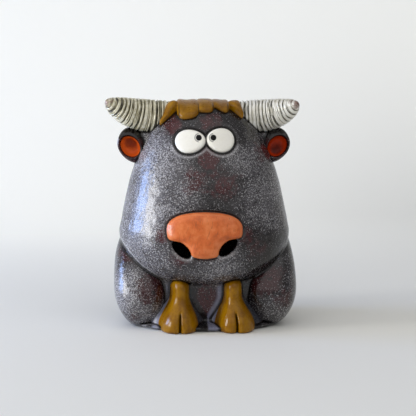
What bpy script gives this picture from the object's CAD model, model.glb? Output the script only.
"""Dressed model of a ceramic incense burner in the shape of a seated bull.

Sizes are in millimetres on the figure's own axis, as the maker measures the piece, and
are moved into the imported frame, in metres, when a mesh is made.
"""

import logging
import math
from contextlib import contextmanager
from dataclasses import dataclass, replace
from enum import Enum
from typing import Any, Callable, Iterable, Iterator

import bmesh
import bpy
import numpy as np
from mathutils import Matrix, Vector
from mathutils.bvhtree import BVHTree


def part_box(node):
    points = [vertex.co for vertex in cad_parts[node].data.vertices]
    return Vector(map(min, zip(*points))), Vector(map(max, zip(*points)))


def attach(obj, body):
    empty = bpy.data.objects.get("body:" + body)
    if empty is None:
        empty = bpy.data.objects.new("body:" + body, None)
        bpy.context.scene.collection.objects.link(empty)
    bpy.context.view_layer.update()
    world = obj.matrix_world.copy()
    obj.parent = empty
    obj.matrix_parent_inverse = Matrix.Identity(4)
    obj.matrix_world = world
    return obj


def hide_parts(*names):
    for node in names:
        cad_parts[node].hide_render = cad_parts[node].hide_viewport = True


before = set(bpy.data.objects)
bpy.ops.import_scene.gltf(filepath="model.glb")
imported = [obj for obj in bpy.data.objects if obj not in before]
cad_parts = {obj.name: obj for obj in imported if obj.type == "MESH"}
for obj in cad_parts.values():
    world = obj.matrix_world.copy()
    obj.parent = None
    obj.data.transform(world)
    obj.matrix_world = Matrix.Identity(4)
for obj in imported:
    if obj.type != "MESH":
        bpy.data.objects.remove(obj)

LOG = logging.getLogger("burner")
MM = 0.001
Array = np.ndarray
Colour = tuple[float, float, float]
Place = tuple[float, float, float]
Values = dict[str | int, Any]


class Body(Enum):
    """The bodies that move against each other."""

    DISH = "dish"
    CONE = "cone"
    FIGURE = "figure"


class Side(Enum):
    """Left and right as the viewer in front of the face sees them."""

    LEFT = -1
    RIGHT = 1

    @property
    def label(self) -> str:
        """The word that ends this side's names."""
        return self.name.lower()

    def pick(self, pair: tuple[Any, Any]) -> Any:
        """This side's value out of a left and a right one."""
        return pair[self is Side.RIGHT]


# Forms


@dataclass(frozen=True)
class Profile:
    """How square and how tapered an egg is between its widest level and a pole."""

    tall: float = 2.2
    wide: float = 2.2
    taper: float = 0.0

    def scale(self, share: Array) -> Array:
        """The width left at a share of the way to the pole."""
        reach = np.clip(np.abs(share), 0.0, 1.0)
        return (1 - self.taper * reach) * (1 - reach**self.tall) ** (1 / self.wide)


def upright(height: Array) -> Array:
    """The drift of an egg that isn't shifted anywhere."""
    return np.zeros_like(height)


@dataclass(frozen=True)
class Egg:
    """A rounded form given by its reach in each direction from its widest level."""

    at: Place
    left: float
    right: float
    front: float
    back: float
    up: float
    down: float
    over: Profile = Profile()
    under: Profile = Profile()
    plan: float = 2.2
    drift: Callable[[Array], Array] = upright

    def grown(self, by: float) -> "Egg":
        """The same egg with every reach longer, or shorter where the number is negative."""
        names = ("left", "right", "front", "back", "up", "down")
        return replace(self, **{name: getattr(self, name) + by for name in names})

    def depth(self, points: Array) -> Array:
        """Tells inside from outside.

        Args:
            points: Places, one row each.

        Returns:
            A number for each place, below zero inside the egg and above zero outside.
        """
        x = points[:, 0] - self.at[0]
        y = points[:, 1] - self.at[1] - self.drift(points[:, 2])
        z = points[:, 2] - self.at[2]
        share = np.where(z < 0, z / self.down, z / self.up)
        scale = np.where(z < 0, self.under.scale(share), self.over.scale(share))
        across = np.abs(x) / np.where(x < 0, self.left, self.right)
        along = np.abs(y) / np.where(y < 0, self.front, self.back)
        ring = (across**self.plan + along**self.plan) ** (1 / self.plan)
        return np.maximum(ring - scale, np.abs(share) - 1)

    def slope(self, points: Array) -> Array:
        """The gradient of the depth, one row for each place."""
        step = 0.05
        columns = []
        for axis in range(3):
            shift = np.zeros(3)
            shift[axis] = step
            columns.append((self.depth(points + shift) - self.depth(points - shift)) / (2 * step))
        return rows(*columns)

    def distance(self, points: Array) -> Array:
        """Roughly how far outside the skin each place lies."""
        steepness = np.linalg.norm(self.slope(points), axis=1)
        return self.depth(points) / np.maximum(steepness, 1e-3)

    def hit(self, origins: Array, ways: Array) -> tuple[Array, Array]:
        """Finds where straight ways from inside leave the egg.

        Args:
            origins: Places inside the egg.
            ways: A direction of length one for each.

        Returns:
            The places on the skin and the outward normals there.
        """
        near = np.zeros(len(origins))
        far = np.full(len(origins), 160.0)
        for _ in range(34):
            middle = (near + far) / 2
            inside = self.depth(origins + ways * middle[:, None]) < 0
            near = np.where(inside, middle, near)
            far = np.where(inside, far, middle)
        places = origins + ways * near[:, None]
        slope = self.slope(places)
        return places, slope / np.linalg.norm(slope, axis=1)[:, None]

    def front_of(self, flat: Array) -> tuple[Array, Array]:
        """Places and normals on the front, over points drawn in the front view as X and Z."""
        ways = np.tile([0.0, -1.0, 0.0], (len(flat), 1))
        return self.hit(rows(flat[:, 0], 0.0, flat[:, 1]), ways)

    def shape(self, around: int, rings: int) -> "Shape":
        """The egg's closed skin."""
        shares = np.sin(np.linspace(-math.pi / 2, math.pi / 2, 2 * rings + 1))[1:-1]
        turns = full_turn(around)
        loops = []
        for share in shares:
            side = self.under if share < 0 else self.over
            scale = float(side.scale(np.array(share)))
            height = self.at[2] + share * (self.down if share < 0 else self.up)
            x = scale * squared(np.cos(turns), self.plan)
            y = scale * squared(np.sin(turns), self.plan)
            x = self.at[0] + x * np.where(x < 0, self.left, self.right)
            y = self.at[1] + y * np.where(y < 0, self.front, self.back)
            loops.append(rows(x, y + self.drift(np.full(around, height)), height))
        poles = []
        for height in (self.at[2] - self.down, self.at[2] + self.up):
            sway = float(self.drift(np.array([height]))[0])
            poles.append(np.array([self.at[0], self.at[1] + sway, height]))
        return stacked(np.array(loops), poles[0], poles[1])


def squared(value: Array, plan: float) -> Array:
    """A sine or cosine bent so that a circle becomes squarer."""
    return np.sign(value) * np.abs(value) ** (2 / plan)


def smooth(value: Array, low: float, high: float) -> Array:
    """A soft step from 0 at the low number to 1 at the high one."""
    share = np.clip((value - low) / (high - low), 0.0, 1.0)
    return share * share * (3 - 2 * share)


def bell(value: Array, middle: float, width: float) -> Array:
    """A soft bump of 1 at the middle that fades over about the width to both sides."""
    return np.exp(-(((value - middle) / width) ** 2))


def full_turn(count: int) -> Array:
    """Even angles once round."""
    return np.linspace(0, 2 * math.pi, count, endpoint=False)


def rows(*columns: Any) -> Array:
    """Places, one row each, from their columns; a single number counts for every row."""
    return np.stack(np.broadcast_arrays(*columns), axis=1)


def bezier(*corners: tuple[float, float], count: int = 24) -> Array:
    """Points along a Bezier curve of any degree, without its last point."""
    shares = np.linspace(0, 1, count, endpoint=False)[:, None]
    degree = len(corners) - 1
    total = np.zeros((count, len(corners[0])))
    for index, corner in enumerate(corners):
        weight = math.comb(degree, index) * shares**index * (1 - shares) ** (degree - index)
        total += weight * np.array(corner)
    return total


def eased(knots: list[tuple[float, ...]], count: int) -> Array:
    """Points on a smooth curve through the knots, ends included."""
    points = np.array(knots, dtype=float)
    padded = np.vstack([2 * points[0] - points[1], points, 2 * points[-1] - points[-2]])
    made = []
    for place in np.linspace(0, len(points) - 1, count):
        index = min(int(place), len(points) - 2)
        t = place - index
        a, b, c, d = padded[index : index + 4]
        square = 2 * a - 5 * b + 4 * c - d
        cube = 3 * b - a - 3 * c + d
        made.append(0.5 * (2 * b + (c - a) * t + square * t**2 + cube * t**3))
    return np.array(made)


def wobble(points: Array, length: float, seed: int) -> Array:
    """A hand's unevenness: a gentle swell between -1 and 1 over places in space."""
    dice = np.random.default_rng(seed)
    total = np.zeros(len(points))
    for _ in range(6):
        way = dice.normal(size=3)
        way *= 2 * math.pi / (length * np.linalg.norm(way) * dice.uniform(0.7, 1.4))
        total += np.sin(points @ way + dice.uniform(0, 2 * math.pi))
    return total / 6**0.5 / 1.4


@dataclass
class Shape:
    """A closed skin in millimetres on the figure's axis."""

    points: Array
    faces: list[tuple[int, ...]]


def stacked(loops: Array, start: Array, end: Array) -> Shape:
    """Joins closed loops in order and closes both ends with a fan.

    Args:
        loops: Places by loop, then by corner, then by axis.
        start: The middle of the first end.
        end: The middle of the last end.

    Returns:
        The closed shape.
    """
    many, around = loops.shape[:2]
    points = np.vstack([loops.reshape(-1, 3), start, end])
    faces: list[tuple[int, ...]] = []
    for i in range(many - 1):
        here, above = i * around, (i + 1) * around
        for j in range(around):
            k = (j + 1) % around
            faces.append((here + j, here + k, above + k, above + j))
    last = (many - 1) * around
    for j in range(around):
        k = (j + 1) % around
        faces.append((many * around, k, j))
        faces.append((many * around + 1, last + j, last + k))
    return Shape(points, faces)


def prism(outline: Array, middle: tuple[float, float], front: float, back: float) -> Shape:
    """Draws a front-view outline out into a straight block.

    Args:
        outline: The outline's points as X and Z.
        middle: A point inside it.
        front: Where the block starts.
        back: Where it ends.

    Returns:
        The closed block.
    """
    planes = (front, back)
    x, z = outline.T
    loops = np.array([rows(x, y, z) for y in planes])
    return stacked(loops, *[np.array([middle[0], y, middle[1]]) for y in planes])


@dataclass(frozen=True)
class Oval:
    """A slanted oval drawn in the front view, higher towards one end where it is pinched."""

    x: float
    z: float
    half_width: float
    half_height: float
    turn: float = 0.0
    pinch: float = 0.0

    def local(self, flat: Array) -> tuple[Array, Array]:
        """Shares of the half width and half height at points of the front view."""
        angle = math.radians(self.turn)
        x = flat[:, 0] - self.x
        z = flat[:, 1] - self.z
        across = (x * math.cos(angle) + z * math.sin(angle)) / self.half_width
        along = (z * math.cos(angle) - x * math.sin(angle)) / self.half_height
        return across, along / np.maximum(0.5, 1 - self.pinch * np.clip(across, -1, 1))

    def distance(self, flat: Array) -> Array:
        """Roughly how far outside the oval each point of the front view lies."""
        across, along = self.local(flat)
        share = np.maximum(np.hypot(across, along), 1e-6)
        reach = np.hypot(flat[:, 0] - self.x, flat[:, 1] - self.z)
        return np.where(share < 0.05, -self.half_height, reach * (share - 1) / share)

    def edge(self, count: int) -> Array:
        """Points along the edge."""
        turns = full_turn(count)
        across = self.half_width * np.cos(turns)
        along = self.half_height * np.sin(turns) * (1 - self.pinch * np.cos(turns))
        angle = math.radians(self.turn)
        x = self.x + across * math.cos(angle) - along * math.sin(angle)
        z = self.z + across * math.sin(angle) + along * math.cos(angle)
        return rows(x, z)

    def reach(self, count: int) -> Array:
        """How far the edge lies from the middle, at even turns."""
        spokes = self.edge(count) - np.array([self.x, self.z])
        turns = np.mod(np.arctan2(spokes[:, 1], spokes[:, 0]), 2 * math.pi)
        order = np.argsort(turns)
        lengths = np.hypot(*spokes.T)[order]
        return np.interp(full_turn(count), turns[order], lengths, period=2 * math.pi)

    def plug(self, front: float, back: float) -> Shape:
        """A straight plug of this outline from the front plane to the back plane."""
        return prism(self.edge(48), (self.x, self.z), front, back)


def nearest(ovals: Iterable[Oval], flat: Array) -> Array:
    """Roughly how far outside the nearest oval each point of the front view lies."""
    return np.min([oval.distance(flat) for oval in ovals], axis=0)


def round_end(away: float, length: float) -> float:
    """The share of its full height that a rounded end has at a distance from its start."""
    return (1 - (1 - min(1.0, away / length)) ** 2) ** 0.5


def rounded_edge(thickness: float, width: float) -> Callable[[Array], Array]:
    """The height of a soft-edged pad over its distance from the edge."""

    def height(inward: Array) -> Array:
        """Height at a distance from the edge."""
        share = np.clip(inward / width, 0.0, 1.0)
        return thickness * np.sqrt(np.maximum(0.0, 1 - (1 - share) ** 2))

    return height


def laid_pad(
    skin: Egg,
    centre: tuple[float, float],
    reach: Array,
    height: Callable[[Array], Array],
    sunk: float,
    rings: int = 30,
) -> Shape:
    """Lays a pad of a front-view outline on a skin.

    Args:
        skin: The form that carries the pad.
        centre: A point of the front view from which the whole outline is seen.
        reach: How far the outline lies from the centre, at even turns.
        height: The pad's height over the skin, from the distance to its edge.
        sunk: How deep the pad's underside lies below the skin.
        rings: How many loops the face has.

    Returns:
        The closed pad.
    """
    turns = full_turn(len(reach))
    spokes = rows(reach * np.cos(turns), reach * np.sin(turns))
    shares = np.sin(np.linspace(0, math.pi / 2, rings + 1))[1:]
    place, normal = skin.front_of(np.array([centre]))
    loops = []
    for share in shares:
        places, _ = skin.front_of(np.array(centre) + share * spokes)
        loops.append(places + normal[0] * height((1 - share) * reach)[:, None])
    for share, drop in ((0.995, sunk / 2), (0.985, sunk), (0.5, sunk)):
        places, _ = skin.front_of(np.array(centre) + share * spokes)
        loops.append(places - normal[0] * drop)
    top = place[0] + normal[0] * float(height(np.array([reach.min()]))[0])
    return stacked(np.array(loops), top, place[0] - normal[0] * sunk)


# How far behind the figure's axis the cone stands
PEDESTAL_Y = 6.0


def axis_of_figure() -> Array:
    """Where the figure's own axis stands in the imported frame, in millimetres.

    Returns:
        The shift from the maker's sizes to the frame.
    """
    low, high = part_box("incense_cone")
    x, y = ((low[axis] + high[axis]) / 2 / MM for axis in (0, 1))
    return np.array([x, y - PEDESTAL_Y, 0.0])


AXIS = axis_of_figure()


def triples(rows: Any, name: str) -> Array:
    """A property of three numbers, read from every row."""
    flat = np.empty(len(rows) * 3)
    rows.foreach_get(name, flat)
    return flat.reshape(-1, 3)


def placed(name: str, data: Any) -> bpy.types.Object:
    """A new object of the scene that carries the data."""
    made = bpy.data.objects.new(name, data)
    bpy.context.scene.collection.objects.link(made)
    return made


def aimed(thing: bpy.types.Object, at: Vector, way: Vector, axis: str) -> None:
    """Puts an object at a place in millimetres, with one of its axes along a way."""
    thing.location = at * MM
    thing.rotation_mode = "QUATERNION"
    thing.rotation_quaternion = way.to_track_quat(axis, "Y")


class Clay:
    """A mesh object while it is being worked."""

    def __init__(self, name: str, shape: Shape) -> None:
        """Makes the object from a closed skin.

        Args:
            name: The piece's name.
            shape: The skin, in millimetres.
        """
        mesh = bpy.data.meshes.new(name)
        mesh.from_pydata((shape.points + AXIS) * MM, [], shape.faces)
        self.object = placed(name, mesh)
        self.closed()

    @property
    def mesh(self) -> bpy.types.Mesh:
        """The mesh as it is now."""
        return self.object.data

    @contextmanager
    def opened(self) -> Iterator[bmesh.types.BMesh]:
        """Opens the mesh for work on its faces and writes it back afterwards."""
        work = bmesh.new()
        work.from_mesh(self.mesh)
        yield work
        work.to_mesh(self.mesh)
        work.free()

    def closed(self, gap: float = 0.0) -> "Clay":
        """Welds corners that are closer than a gap in metres and turns all faces outwards."""
        with self.opened() as work:
            if gap:
                bmesh.ops.remove_doubles(work, verts=work.verts, dist=gap)
            bmesh.ops.recalc_face_normals(work, faces=work.faces)
        return self

    def points(self) -> Array:
        """The corners, in millimetres on the figure's axis."""
        return triples(self.mesh.vertices, "co") / MM - AXIS

    def normals(self) -> Array:
        """The corners' outward normals."""
        return triples(self.mesh.vertex_normals, "vector")

    def move_to(self, points: Array) -> "Clay":
        """Sets the corners and returns the same clay."""
        self.mesh.vertices.foreach_set("co", ((points + AXIS) * MM).ravel())
        self.mesh.update()
        return self

    def pushed(self, by: Array) -> "Clay":
        """Moves each corner outwards along its normal, in millimetres."""
        return self.move_to(self.points() + self.normals() * by[:, None])

    def worked(self, kind: str, **settings: Any) -> "Clay":
        """Applies one modifier.

        Args:
            kind: The modifier's type.
            **settings: Its settings by name.

        Returns:
            The same clay.
        """
        modifier = self.object.modifiers.new(kind.title(), kind)
        for name, value in settings.items():
            setattr(modifier, name, value)
        return self.baked()

    def baked(self) -> "Clay":
        """Turns what the modifiers make into the mesh itself."""
        graph = bpy.context.evaluated_depsgraph_get()
        result = self.object.evaluated_get(graph)
        made = bpy.data.meshes.new_from_object(
            result, preserve_all_data_layers=True, depsgraph=graph
        )
        self.object.modifiers.clear()
        self.object.data = made
        return self

    def remeshed(self, grain: float, rubs: int) -> "Clay":
        """Melts all parts into one skin of an even grain, then rubs it smooth."""
        self.worked("REMESH", mode="VOXEL", voxel_size=grain * MM)
        return self.worked("SMOOTH", factor=0.5, iterations=rubs)

    def with_parts(self, *shapes: Shape) -> "Clay":
        """Adds further closed skins to the same mesh."""
        with self.opened() as work:
            for shape in shapes:
                corners = [work.verts.new((point + AXIS) * MM) for point in shape.points]
                for face in shape.faces:
                    work.faces.new([corners[i] for i in face])
            bmesh.ops.recalc_face_normals(work, faces=work.faces)
        return self

    def cut(self, *shapes: Shape) -> "Clay":
        """Cuts closed shapes away, one after the other."""
        for shape in shapes:
            tool = Clay("cutter", shape)
            self.worked(
                "BOOLEAN", solver="MANIFOLD", operation="DIFFERENCE", object=tool.object
            )
            bpy.data.objects.remove(tool.object)
        return self

    def refined(self, chosen: Callable[[Array], Array], cuts: int) -> "Clay":
        """Divides the faces whose middle is chosen.

        Args:
            chosen: Tells for each place whether it is chosen.
            cuts: Into how many more strips each edge is divided.

        Returns:
            The same clay.
        """
        with self.opened() as work:
            middles = np.array([face.calc_center_median() for face in work.faces]) / MM - AXIS
            picked = chosen(middles)
            edges = {edge for face, yes in zip(work.faces, picked) if yes for edge in face.edges}
            bmesh.ops.subdivide_edges(
                work, edges=list(edges), cuts=cuts, use_grid_fill=True, smooth=0.3
            )
        return self

    def marked(self, name: str, values: Array) -> "Clay":
        """Stores a number at each corner, which the glaze reads."""
        mark = self.mesh.attributes.get(name) or self.mesh.attributes.new(name, "FLOAT", "POINT")
        mark.data.foreach_set("value", np.asarray(values, dtype=np.float32))
        return self

    def mark(self, name: str) -> Array:
        """The numbers stored under a name, or zeros."""
        values = np.zeros(len(self.mesh.vertices), dtype=np.float32)
        found = self.mesh.attributes.get(name)
        if found:
            found.data.foreach_get("value", values)
        return values

    def pooled(self, others: BVHTree, width: float) -> Array:
        """Marks the crease in which glaze pools beside other pieces.

        Args:
            others: The skin of the other pieces.
            width: How far from them the pool reaches, in millimetres.

        Returns:
            How far each corner lies from the other pieces, up to three widths.
        """
        points = self.points()
        away = np.full(len(points), 3 * width)
        for index, point in enumerate(points):
            distance = others.find_nearest(point, 3 * width)[3]
            away[index] = 3 * width if distance is None else distance
        self.marked("crease", np.maximum(self.mark("crease"), bell(away, 0.0, width)))
        return away

    def softened(self, sharp: float = 50.0) -> "Clay":
        """Shades the skin smooth, apart from edges sharper than an angle."""
        self.mesh.shade_smooth()
        self.mesh.set_sharp_from_angle(angle=math.radians(sharp))
        return self


# Node graphs


def arithmetic(operation: str, swapped: bool = False) -> Callable[["Term", Any], "Term"]:
    """Makes an operator for terms.

    Args:
        operation: What its math node does.
        swapped: Whether the term stands on the operator's right.

    Returns:
        The operator's method.
    """

    def operator(term: "Term", other: "Term | float") -> "Term":
        """Adds the math node."""
        a, b = (other, term) if swapped else (term, other)
        return term.graph.math(operation, a, b)

    return operator


class Term:
    """A socket that takes part in Python arithmetic."""

    def __init__(self, graph: "Graph", socket: bpy.types.NodeSocket) -> None:
        """Keeps the socket and the graph that it belongs to."""
        self.graph = graph
        self.socket = socket

    __add__, __radd__ = arithmetic("ADD"), arithmetic("ADD", swapped=True)
    __sub__, __rsub__ = arithmetic("SUBTRACT"), arithmetic("SUBTRACT", swapped=True)
    __mul__, __rmul__ = arithmetic("MULTIPLY"), arithmetic("MULTIPLY", swapped=True)
    __truediv__, __pow__ = arithmetic("DIVIDE"), arithmetic("POWER")

    def step(self, low: float, high: float) -> "Term":
        """A soft step from 0 at the low number to 1 at the high one."""
        settings = {"interpolation_type": "SMOOTHSTEP"}
        values = {"Value": self, "From Min": low, "From Max": high}
        return self.graph.take("ShaderNodeMapRange", settings, values, "Result")

    def held(self) -> "Term":
        """The value held between 0 and 1."""
        return self.graph.math("ADD", self, 0.0, clamp=True)


class Graph:
    """A node tree under construction."""

    def __init__(self, tree: bpy.types.NodeTree) -> None:
        """Starts on an empty tree."""
        self.tree = tree
        self.tree.nodes.clear()

    def node(
        self, kind: str, settings: Values | None = None, values: Values | None = None
    ) -> bpy.types.Node:
        """Adds a node.

        Args:
            kind: The node's type.
            settings: Its settings, set before its inputs.
            values: Numbers, colours or links for its inputs, by name or by place.

        Returns:
            The node.
        """
        made = self.tree.nodes.new(kind)
        for name, value in (settings or {}).items():
            setattr(made, name, value)
        for key, value in (values or {}).items():
            socket = made.inputs[key]
            if isinstance(value, Term):
                self.tree.links.new(value.socket, socket)
            elif isinstance(value, tuple) and socket.type == "RGBA":
                socket.default_value = (*value, 1.0)[:4]
            else:
                socket.default_value = value
        return made

    def take(
        self,
        kind: str,
        settings: Values | None = None,
        values: Values | None = None,
        output: str | int = 0,
    ) -> Term:
        """Adds a node and takes one of its outputs."""
        return Term(self, self.node(kind, settings, values).outputs[output])

    def math(self, operation: str, a: Any, b: Any = 0.0, clamp: bool = False) -> Term:
        """One step of arithmetic on terms or numbers."""
        settings = {"operation": operation, "use_clamp": clamp}
        return self.take("ShaderNodeMath", settings, {0: a, 1: b})

    def scaled(self, vector: Term, by: Any) -> Term:
        """A vector made longer or shorter by a term or a number."""
        return self.take("ShaderNodeVectorMath", {"operation": "SCALE"}, {0: vector, "Scale": by})

    def clouds(self, dimensions: str, values: Values) -> Term:
        """Noise between 0 and 1 over one to four dimensions."""
        return self.take("ShaderNodeTexNoise", {"noise_dimensions": dimensions}, values, "Fac")

    def stored(self, geometry: Term, name: str, value: Term) -> Term:
        """The geometry with a number stored at its corners."""
        settings = {"data_type": "FLOAT", "domain": "POINT"}
        values = {"Geometry": geometry, "Name": name, "Value": value}
        return self.take("GeometryNodeStoreNamedAttribute", settings, values)

    def blend(self, factor: "Term | float", a: Any, b: Any) -> Term:
        """A colour between two colours."""
        return self.take("ShaderNodeMix", {"data_type": "RGBA"}, {0: factor, 6: a, 7: b}, 2)


class Paint(Graph):
    """The graph of one ceramic finish."""

    def __init__(self, name: str) -> None:
        """Makes a new material of that name."""
        self.material = bpy.data.materials.new(name)
        self.material.use_nodes = True
        super().__init__(self.material.node_tree)
        self.place = self.scaled(self.take("ShaderNodeTexCoord", output="Object"), 1 / MM)

    def noise(
        self, size: float, detail: float = 3.0, rough: float = 0.55, at: Term | None = None
    ) -> Term:
        """Cloudy noise whose clouds measure about the size, in millimetres."""
        grain = {"Scale": 1 / size, "Detail": detail, "Roughness": rough}
        return self.clouds("3D", {"Vector": at or self.place, **grain})

    def mark(self, name: str) -> Term:
        """The number stored at the corners under that name."""
        return self.take("ShaderNodeAttribute", {"attribute_name": name}, output="Fac")

    def finish(
        self, values: Values, relief: Term | None = None, depth: float = 0.0
    ) -> bpy.types.Material:
        """Ends the graph in the ceramic's shader.

        Args:
            values: The shader's inputs.
            relief: Fine relief between 0 and 1.
            depth: The relief's depth in millimetres.

        Returns:
            The finished material.
        """
        if relief is not None:
            bumps = {"Height": relief, "Distance": depth * MM, "Strength": 1.0}
            values = {**values, "Normal": self.take("ShaderNodeBump", None, bumps, "Normal")}
        shader = self.take("ShaderNodeBsdfPrincipled", None, values, "BSDF")
        self.node("ShaderNodeOutputMaterial", None, {"Surface": shader})
        return self.material


def tone(red: int, green: int, blue: int) -> Colour:
    """A colour as a screen shows it, from 0 to 255, in the shader's own measure."""

    def linear(value: int) -> float:
        """One channel."""
        share = value / 255
        return share / 12.92 if share <= 0.04045 else ((share + 0.055) / 1.055) ** 2.4

    return linear(red), linear(green), linear(blue)


# Finishes


@dataclass(frozen=True)
class Finish:
    """A finish with its name and the record's slot."""

    name: str
    slot: str

    def material(self) -> bpy.types.Material:
        """The material, painted once and then shared."""
        return bpy.data.materials.get(self.name) or self.painted(Paint(self.name))

    def painted(self, paint: Paint) -> bpy.types.Material:
        """Paints the material."""
        raise NotImplementedError


@dataclass(frozen=True)
class SpeckledGlaze(Finish):
    """Dark body glaze over maroon slip, broken by a dense pale speckle."""

    dark: Colour = tone(20, 14, 15)
    slate: Colour = tone(100, 97, 101)
    maroon: Colour = tone(58, 8, 12)
    soot: Colour = tone(12, 8, 9)
    pale: Colour = tone(164, 162, 163)
    lilac: Colour = tone(118, 120, 140)

    def painted(self, paint: Paint) -> bpy.types.Material:
        """Paints the material."""
        clouds = paint.noise(17, 2)
        patches = paint.noise(3.4, 4, 0.65)
        grain = paint.noise(0.7, 1.5, 0.7)
        fine = paint.noise(0.45, 1, 0.5)
        speckle = paint.mark("speckle")
        maroon = (paint.mark("maroon") * 1.4 + patches * 2.0 - 1.5).step(0.05, 0.7)
        cloudy = clouds * 1.2 + patches * 0.9 + speckle * 1.2 - 0.7
        haze = cloudy.held() * fine.step(0.2, 0.6)
        ground = paint.blend(maroon, paint.blend(haze, self.dark, self.slate), self.maroon)
        spots = paint.noise(2.4, 3, 0.6).step(0.55, 0.66)
        sooted = paint.blend(spots * 0.75, ground, self.soot)
        density = ((clouds - 0.5) * 1.4 + 0.36 + speckle * 0.6 - maroon * 0.2).held()
        fleck = (grain + density * 0.15 + (fine - 0.5) * 0.3).step(0.62, 0.70)
        opaque = (0.8 + speckle * 0.5).held() * (0.35 + patches * 0.9)
        speckled = paint.blend(fleck * opaque, sooted, self.pale)
        greyed = (paint.mark("lilac") * (0.6 + patches * 0.6)).held()
        edged = paint.blend(greyed, speckled, self.lilac)
        crease = paint.mark("crease").step(0.12, 0.7)
        creased = paint.blend(crease * 0.93, edged, self.soot)
        lined = (paint.mark("pale") * (0.55 + fleck * 0.6)).held()
        colour = paint.blend(lined, creased, self.pale)
        rough = 0.15 + fleck * 0.16 + patches * 0.08 - crease * 0.05
        relief = grain * 0.12 + patches * 0.8 + paint.noise(7, 2) * 1.3
        gloss = {"Roughness": rough, "Specular IOR Level": 0.52}
        return paint.finish({"Base Color": colour, **gloss}, relief, 0.3)


@dataclass(frozen=True)
class OchreGlaze(Finish):
    """Mustard-brown glaze, darker where it pools and greyish on the sides it doesn't reach."""

    light: Colour = tone(150, 106, 2)
    deep: Colour = tone(110, 68, 0)
    edge: Colour = tone(30, 16, 6)
    lilac: Colour = tone(120, 122, 144)
    slate: Colour = tone(46, 46, 54)
    gleam: Colour = tone(206, 206, 214)

    def painted(self, paint: Paint) -> bpy.types.Material:
        """Paints the material."""
        clouds = paint.noise(6, 3)
        streaks = paint.noise(1.3, 4, 0.6)
        pooled = (clouds * 0.8 + streaks * 0.5 - 0.15).step(0.2, 0.8)
        body = paint.blend(pooled, self.deep, self.light)
        side = (paint.mark("side") + (streaks - 0.5) * 0.25).step(0.42, 0.58)
        speckle = paint.noise(0.62, 3, 0.7).step(0.52, 0.68)
        shaded = paint.blend(paint.mark("turned"), self.lilac, self.slate)
        lit = (speckle * 0.3 + paint.mark("lit") * 0.8).held()
        banded = paint.blend(side, body, paint.blend(lit, shaded, self.gleam))
        colour = paint.blend(paint.mark("crease").step(0.2, 0.9) * 0.9, banded, self.edge)
        coat = {"Specular IOR Level": 0.08, "Coat Weight": 0.32, "Coat Roughness": 0.07}
        values = {"Base Color": colour, "Roughness": 0.22 + streaks * 0.14, **coat}
        return paint.finish(values, streaks, 0.09)


@dataclass(frozen=True)
class HornGlaze(Finish):
    """Ivory and silver glaze rubbed off the ridges, dark in the grooves."""

    ridge: Colour
    warm: Colour
    valley: Colour = tone(118, 112, 86)
    bright: Colour = tone(232, 230, 220)
    groove: Colour = tone(34, 28, 20)
    spot: Colour = tone(104, 58, 52)
    shine: float = 0.1

    def painted(self, paint: Paint) -> bpy.types.Material:
        """Paints the material."""
        clouds = paint.noise(5, 3)
        grain = paint.noise(1.1, 3, 0.7)
        carved = paint.mark("groove")
        ridges = paint.blend(clouds.step(0.35, 0.65), self.warm, self.ridge)
        worn = (1 - carved.step(0.0, 0.3)) * grain.step(0.4, 0.6) * 0.5
        rubbed = paint.blend(worn, ridges, self.bright)
        sunk = paint.blend((carved + (grain - 0.5) * 0.5).step(0.2, 0.75), rubbed, self.valley)
        deepest = (carved + (grain - 0.5) * 0.8).step(0.62, 0.92)
        lined = paint.blend(deepest * 0.9, sunk, self.groove)
        blush = (paint.mark("tip") + paint.noise(2.6, 3, 0.7) * 1.6 - 1.35).step(0.2, 0.6)
        tipped = paint.blend(blush * 0.75, lined, self.spot)
        colour = paint.blend(paint.mark("crease").step(0.2, 0.9) * 0.85, tipped, self.groove)
        gloss = {"Roughness": 0.3 + carved * 0.2, "Coat Weight": 0.4, "Coat Roughness": 0.15}
        return paint.finish({"Base Color": colour, "Metallic": self.shine, **gloss}, grain, 0.1)


@dataclass(frozen=True)
class Terracotta(Finish):
    """Satin red clay with faint rubs and scratches."""

    clay: Colour = tone(204, 98, 40)
    rubbed: Colour = tone(222, 128, 72)
    stained: Colour = tone(128, 66, 38)
    edge: Colour = tone(64, 34, 26)

    def painted(self, paint: Paint) -> bpy.types.Material:
        """Paints the material."""
        clouds = paint.noise(5, 4, 0.6)
        smears = {"Vector": paint.place, "Scale": (0.35, 1.0, 2.4), "Rotation": (0.0, 0.25, 0.0)}
        stretched = paint.take("ShaderNodeMapping", {"vector_type": "TEXTURE"}, smears)
        scratches = paint.noise(2.0, 4, 0.65, stretched)
        body = paint.blend(clouds.step(0.42, 0.72) * 0.8, self.clay, self.rubbed)
        dulled = paint.blend((1 - clouds.step(0.3, 0.5)) * 0.4, body, self.stained)
        marked = paint.blend(scratches.step(0.55, 0.68) * 0.5, dulled, self.stained)
        edged = paint.blend(paint.mark("rim").step(0.3, 1.0) * 0.4, marked, self.rubbed)
        colour = paint.blend(paint.mark("crease").step(0.3, 1.0) * 0.85, edged, self.edge)
        coat = {"Specular IOR Level": 0.25, "Coat Weight": 0.35, "Coat Roughness": 0.16}
        values = {"Base Color": colour, "Roughness": 0.36 + clouds * 0.14, **coat}
        return paint.finish(values, scratches, 0.05)


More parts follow.
